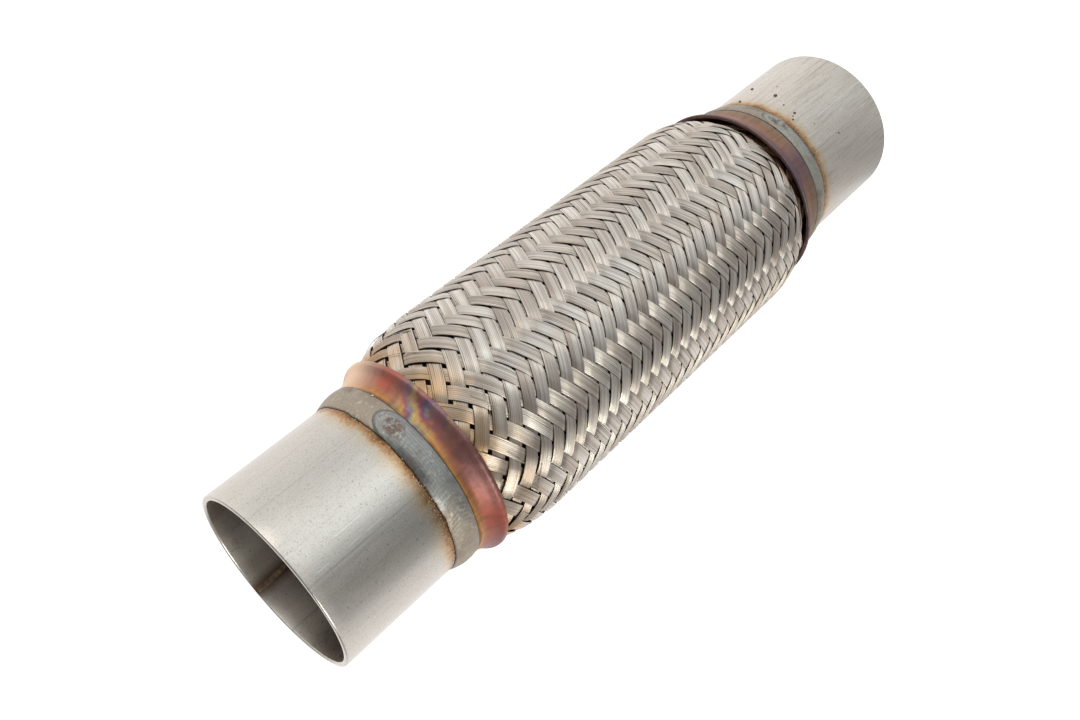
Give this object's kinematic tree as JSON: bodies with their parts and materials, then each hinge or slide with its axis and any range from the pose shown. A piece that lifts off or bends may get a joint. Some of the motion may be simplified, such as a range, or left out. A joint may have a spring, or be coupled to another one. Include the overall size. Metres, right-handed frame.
{
  "type": "exhaust flex pipe",
  "caption": "Flexible exhaust coupling: a braided wire sleeve over a corrugated bellows and a smooth liner, with a flared cap and a plain weld-on nipple at each end.",
  "frame": {"origin": "centre of the rear nipple's end face, which the pipe stands on", "axes": "+Z along the pipe's axis from the rear nipple up to the front nipple; +X and +Y square to it"},
  "size_m": [0.0678, 0.0678, 0.25],
  "materials": {
    "nipple_steel": "drawn satin stainless tube with brown heat tint beside the weld",
    "weld_metal": "grey rippled weld bead",
    "cap_steel": "pressed stainless with straw, red and purple heat tint",
    "braid_wire": "bright drawn stainless wire, laid side by side in flat bands",
    "bellows_steel": "thin bright stainless sheet",
    "liner_steel": "dull stainless sheet"
  },
  "bodies": {
    "root": {"rear_nipple": "nipple_steel", "rear_weld_bead": "weld_metal", "rear_end_cap": "cap_steel", "outer_braid": "braid_wire", "bellows": "bellows_steel", "inner_liner": "liner_steel", "front_end_cap": "cap_steel", "front_weld_bead": "weld_metal", "front_nipple": "nipple_steel"}
  },
  "joints": []
}
